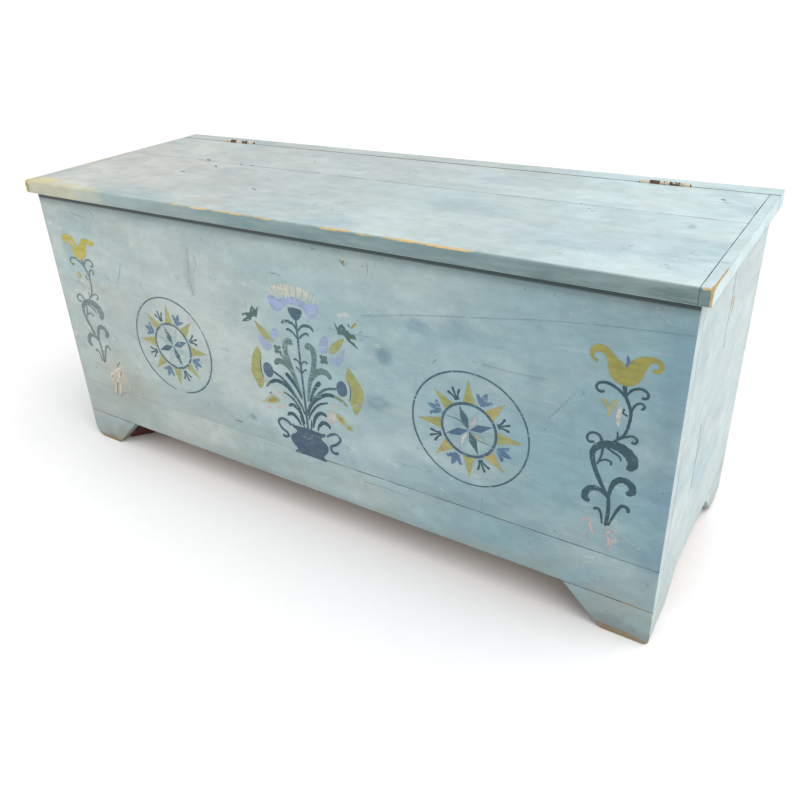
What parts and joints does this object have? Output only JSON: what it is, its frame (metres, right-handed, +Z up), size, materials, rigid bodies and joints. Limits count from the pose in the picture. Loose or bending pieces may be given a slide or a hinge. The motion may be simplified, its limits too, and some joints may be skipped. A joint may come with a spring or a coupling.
{
  "type": "blanket chest",
  "caption": "Low painted board chest on bracket feet, with a flat lid hinged in front of a fixed back rail; it stores blankets and linen.",
  "frame": {"origin": "on the floor, at the middle of the chest's footprint (lid overhang and back rail included)", "axes": "+X along the width to the right, the front faces -Y, +Z up"},
  "size_m": [0.922, 0.337, 0.4236],
  "materials": {
    "front_paint": "worn pale blue paint on pine, matt",
    "end_paint": "worn pale blue paint on pine, matt",
    "back_paint": "thin pale blue paint on pine, matt",
    "lid_paint": "rubbed pale blue paint on pine, satin where handled",
    "bottom_wood": "bare aged pine, sawn",
    "block_wood": "bare red-brown sawn wood",
    "nail_iron": "rusted iron under paint",
    "screw_iron": "dull steel",
    "hinge_cream_paint": "chipped cream paint",
    "hinge_rust": "rusted, paint worn off",
    "pin_iron": "dull, rusted at the ends"
  },
  "bodies": {
    "case": {"front_upper_board": "front_paint", "front_lower_board": "front_paint", "left_end_board": "end_paint", "right_end_board": "end_paint", "back_upper_board": "back_paint", "back_lower_board": "back_paint", "bottom_front_board": "bottom_wood", "bottom_rear_board": "bottom_wood", "foot_front_left": "front_paint", "foot_front_right": "front_paint", "foot_back_left": "back_paint", "foot_back_right": "back_paint", "side_foot_front_left": "end_paint", "side_foot_front_right": "end_paint", "side_foot_back_left": "end_paint", "side_foot_back_right": "end_paint", "glue_block_front_left": "block_wood", "glue_block_front_right": "block_wood", "glue_block_back_left": "block_wood", "glue_block_back_right": "block_wood", "back_rail": "lid_paint", "front_nails": "nail_iron", "back_nails": "nail_iron", "bottom_nails": "nail_iron", "foot_nails": "nail_iron", "rail_nails": "nail_iron", "left_hinge_fixed_leaf": "hinge_cream_paint", "right_hinge_fixed_leaf": "hinge_cream_paint", "left_hinge_pin": "pin_iron", "right_hinge_pin": "pin_iron", "left_hinge_rail_screws": "screw_iron", "right_hinge_rail_screws": "screw_iron"},
    "lid": {"lid_front_board": "lid_paint", "lid_rear_board": "lid_paint", "lid_left_strip": "lid_paint", "lid_right_strip": "lid_paint", "lid_strip_nails": "nail_iron", "left_hinge_moving_leaf": "hinge_rust", "right_hinge_moving_leaf": "hinge_rust", "left_hinge_lid_screws": "screw_iron", "right_hinge_lid_screws": "screw_iron"}
  },
  "joints": [
    {"name": "lid_hinge", "type": "hinge", "parent": "case", "child": "lid", "pos_m": [0, 0.1407, 0.4206], "axis": [-1, 0, 0], "range_deg": [0, 180]}
  ]
}
